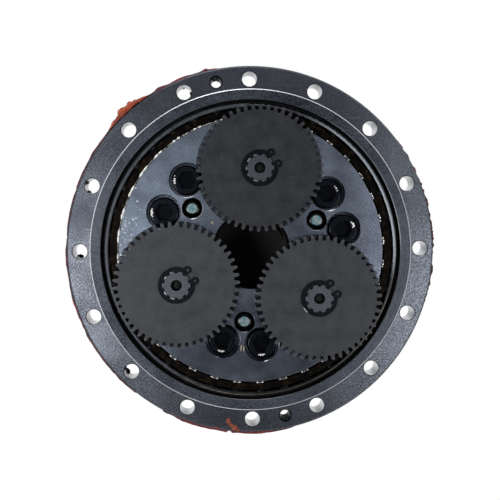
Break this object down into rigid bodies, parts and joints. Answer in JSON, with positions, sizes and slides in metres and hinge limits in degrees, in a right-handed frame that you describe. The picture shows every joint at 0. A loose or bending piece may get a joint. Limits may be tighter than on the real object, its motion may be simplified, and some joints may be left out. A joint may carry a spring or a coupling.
{
  "type": "cycloidal gear reducer",
  "caption": "Two-stage cycloidal reducer: flanged internal ring gear case with roller pins, splined crankshafts with spur gears, lobed discs and a ball-borne carrier.",
  "frame": {"origin": "centre of the output flange's outer face, on the main axis", "axes": "+Z along the main axis towards the input side, with the flange's first bolt hole on +Y"},
  "size_m": [0.222, 0.222, 0.085],
  "materials": {
    "ground_case": "fine ground, lightly oiled",
    "carrier_steel": "ground and oiled",
    "gear_steel": "phosphated, matte",
    "shaft_steel": "ground",
    "disc_steel": "ground",
    "bearing_steel": "polished",
    "race_steel": "polished",
    "dowel_steel": "polished, crowned end",
    "black_oxide": "black oxide, oiled",
    "brass_cage": "dark with old grease",
    "pressed_cage": "pressed sheet",
    "plug_steel": "pressed cap",
    "seal_rubber": "moulded",
    "spring_steel": "drawn wire"
  },
  "bodies": {
    "case": {"ring_gear_case": "ground_case", "ring_pins": "bearing_steel", "input_outer_race": "race_steel", "output_outer_race": "race_steel", "output_oil_seal": "seal_rubber", "seal_garter_spring": "spring_steel"},
    "carrier": {"hold_flange": "carrier_steel", "output_flange": "carrier_steel", "carrier_bolts": "black_oxide", "bolt_washers": "black_oxide", "dowel_pins": "dowel_steel", "centre_plug": "plug_steel", "input_bearing_cups": "bearing_steel", "output_bearing_cups": "bearing_steel", "cup_shims": "bearing_steel", "cup_retaining_rings": "black_oxide"},
    "input_ball_set": {"input_ball_cage": "brass_cage", "input_balls": "bearing_steel"},
    "output_ball_set": {"output_ball_cage": "brass_cage", "output_balls": "bearing_steel"},
    "crank_a": {"crankshaft_a": "shaft_steel", "spur_gear_a": "gear_steel", "gear_circlips_a": "black_oxide", "crank_cones_a": "bearing_steel", "thrust_washers_a": "bearing_steel"},
    "taper_set_a": {"taper_rollers_a": "bearing_steel", "taper_cages_a": "pressed_cage"},
    "needle_set_lower_a": {"needle_rollers_lower_a": "bearing_steel", "needle_cage_lower_a": "pressed_cage"},
    "needle_set_upper_a": {"needle_rollers_upper_a": "bearing_steel", "needle_cage_upper_a": "pressed_cage"},
    "crank_b": {"crankshaft_b": "shaft_steel", "spur_gear_b": "gear_steel", "gear_circlips_b": "black_oxide", "crank_cones_b": "bearing_steel", "thrust_washers_b": "bearing_steel"},
    "taper_set_b": {"taper_rollers_b": "bearing_steel", "taper_cages_b": "pressed_cage"},
    "needle_set_lower_b": {"needle_rollers_lower_b": "bearing_steel", "needle_cage_lower_b": "pressed_cage"},
    "needle_set_upper_b": {"needle_rollers_upper_b": "bearing_steel", "needle_cage_upper_b": "pressed_cage"},
    "crank_c": {"crankshaft_c": "shaft_steel", "spur_gear_c": "gear_steel", "gear_circlips_c": "black_oxide", "crank_cones_c": "bearing_steel", "thrust_washers_c": "bearing_steel"},
    "taper_set_c": {"taper_rollers_c": "bearing_steel", "taper_cages_c": "pressed_cage"},
    "needle_set_lower_c": {"needle_rollers_lower_c": "bearing_steel", "needle_cage_lower_c": "pressed_cage"},
    "needle_set_upper_c": {"needle_rollers_upper_c": "bearing_steel", "needle_cage_upper_c": "pressed_cage"},
    "disc_lower": {"cycloid_disc_lower": "disc_steel"},
    "disc_upper": {"cycloid_disc_upper": "disc_steel"}
  },
  "joints": [
    {"name": "carrier_turn", "type": "hinge", "parent": "case", "child": "carrier", "pos_m": [0, 0, 0], "axis": [0, 0, 1], "continuous": true},
    {"name": "input_ball_turn", "type": "hinge", "parent": "case", "child": "input_ball_set", "pos_m": [0, 0, 0.0676], "axis": [0, 0, 1], "continuous": true},
    {"name": "output_ball_turn", "type": "hinge", "parent": "case", "child": "output_ball_set", "pos_m": [0, 0, 0.017], "axis": [0, 0, 1], "continuous": true},
    {"name": "crank_a_turn", "type": "hinge", "parent": "carrier", "child": "crank_a", "pos_m": [0.00505, 0.04886, 0.04], "axis": [0, 0, 1], "continuous": true},
    {"name": "taper_a_turn", "type": "hinge", "parent": "carrier", "child": "taper_set_a", "pos_m": [0.00505, 0.04886, 0.04], "axis": [0, 0, 1], "continuous": true},
    {"name": "crank_b_turn", "type": "hinge", "parent": "carrier", "child": "crank_b", "pos_m": [-0.04484, -0.02006, 0.04], "axis": [0, 0, 1], "continuous": true},
    {"name": "taper_b_turn", "type": "hinge", "parent": "carrier", "child": "taper_set_b", "pos_m": [-0.04484, -0.02006, 0.04], "axis": [0, 0, 1], "continuous": true},
    {"name": "crank_c_turn", "type": "hinge", "parent": "carrier", "child": "crank_c", "pos_m": [0.03979, -0.0288, 0.04], "axis": [0, 0, 1], "continuous": true},
    {"name": "taper_c_turn", "type": "hinge", "parent": "carrier", "child": "taper_set_c", "pos_m": [0.03979, -0.0288, 0.04], "axis": [0, 0, 1], "continuous": true},
    {"name": "needle_lower_a_turn", "type": "hinge", "parent": "crank_a", "child": "needle_set_lower_a", "pos_m": [0.00505, 0.05036, 0.033], "axis": [0, 0, 1], "continuous": true},
    {"name": "needle_lower_b_turn", "type": "hinge", "parent": "crank_b", "child": "needle_set_lower_b", "pos_m": [-0.04484, -0.01856, 0.033], "axis": [0, 0, 1], "continuous": true},
    {"name": "needle_lower_c_turn", "type": "hinge", "parent": "crank_c", "child": "needle_set_lower_c", "pos_m": [0.03979, -0.0273, 0.033], "axis": [0, 0, 1], "continuous": true},
    {"name": "disc_lower_swing", "type": "hinge", "parent": "crank_a", "child": "disc_lower", "pos_m": [0.00505, 0.05036, 0.033], "axis": [0, 0, 1], "continuous": true},
    {"name": "needle_upper_a_turn", "type": "hinge", "parent": "crank_a", "child": "needle_set_upper_a", "pos_m": [0.00505, 0.04736, 0.046], "axis": [0, 0, 1], "continuous": true},
    {"name": "needle_upper_b_turn", "type": "hinge", "parent": "crank_b", "child": "needle_set_upper_b", "pos_m": [-0.04484, -0.02156, 0.046], "axis": [0, 0, 1], "continuous": true},
    {"name": "needle_upper_c_turn", "type": "hinge", "parent": "crank_c", "child": "needle_set_upper_c", "pos_m": [0.03979, -0.0303, 0.046], "axis": [0, 0, 1], "continuous": true},
    {"name": "disc_upper_swing", "type": "hinge", "parent": "crank_a", "child": "disc_upper", "pos_m": [0.00505, 0.04736, 0.046], "axis": [0, 0, 1], "continuous": true}
  ],
  "couplings": [
    {"joint": "input_ball_turn", "follows": "carrier_turn", "ratio": 0.47781},
    {"joint": "output_ball_turn", "follows": "carrier_turn", "ratio": 0.47781},
    {"joint": "crank_a_turn", "follows": "carrier_turn", "ratio": -40},
    {"joint": "taper_a_turn", "follows": "carrier_turn", "ratio": -16.456},
    {"joint": "crank_b_turn", "follows": "carrier_turn", "ratio": -40},
    {"joint": "taper_b_turn", "follows": "carrier_turn", "ratio": -16.456},
    {"joint": "crank_c_turn", "follows": "carrier_turn", "ratio": -40},
    {"joint": "taper_c_turn", "follows": "carrier_turn", "ratio": -16.456},
    {"joint": "needle_lower_a_turn", "follows": "carrier_turn", "ratio": 22.353},
    {"joint": "needle_lower_b_turn", "follows": "carrier_turn", "ratio": 22.353},
    {"joint": "needle_lower_c_turn", "follows": "carrier_turn", "ratio": 22.353},
    {"joint": "disc_lower_swing", "follows": "carrier_turn", "ratio": 40},
    {"joint": "needle_upper_a_turn", "follows": "carrier_turn", "ratio": 22.353},
    {"joint": "needle_upper_b_turn", "follows": "carrier_turn", "ratio": 22.353},
    {"joint": "needle_upper_c_turn", "follows": "carrier_turn", "ratio": 22.353},
    {"joint": "disc_upper_swing", "follows": "carrier_turn", "ratio": 40}
  ]
}
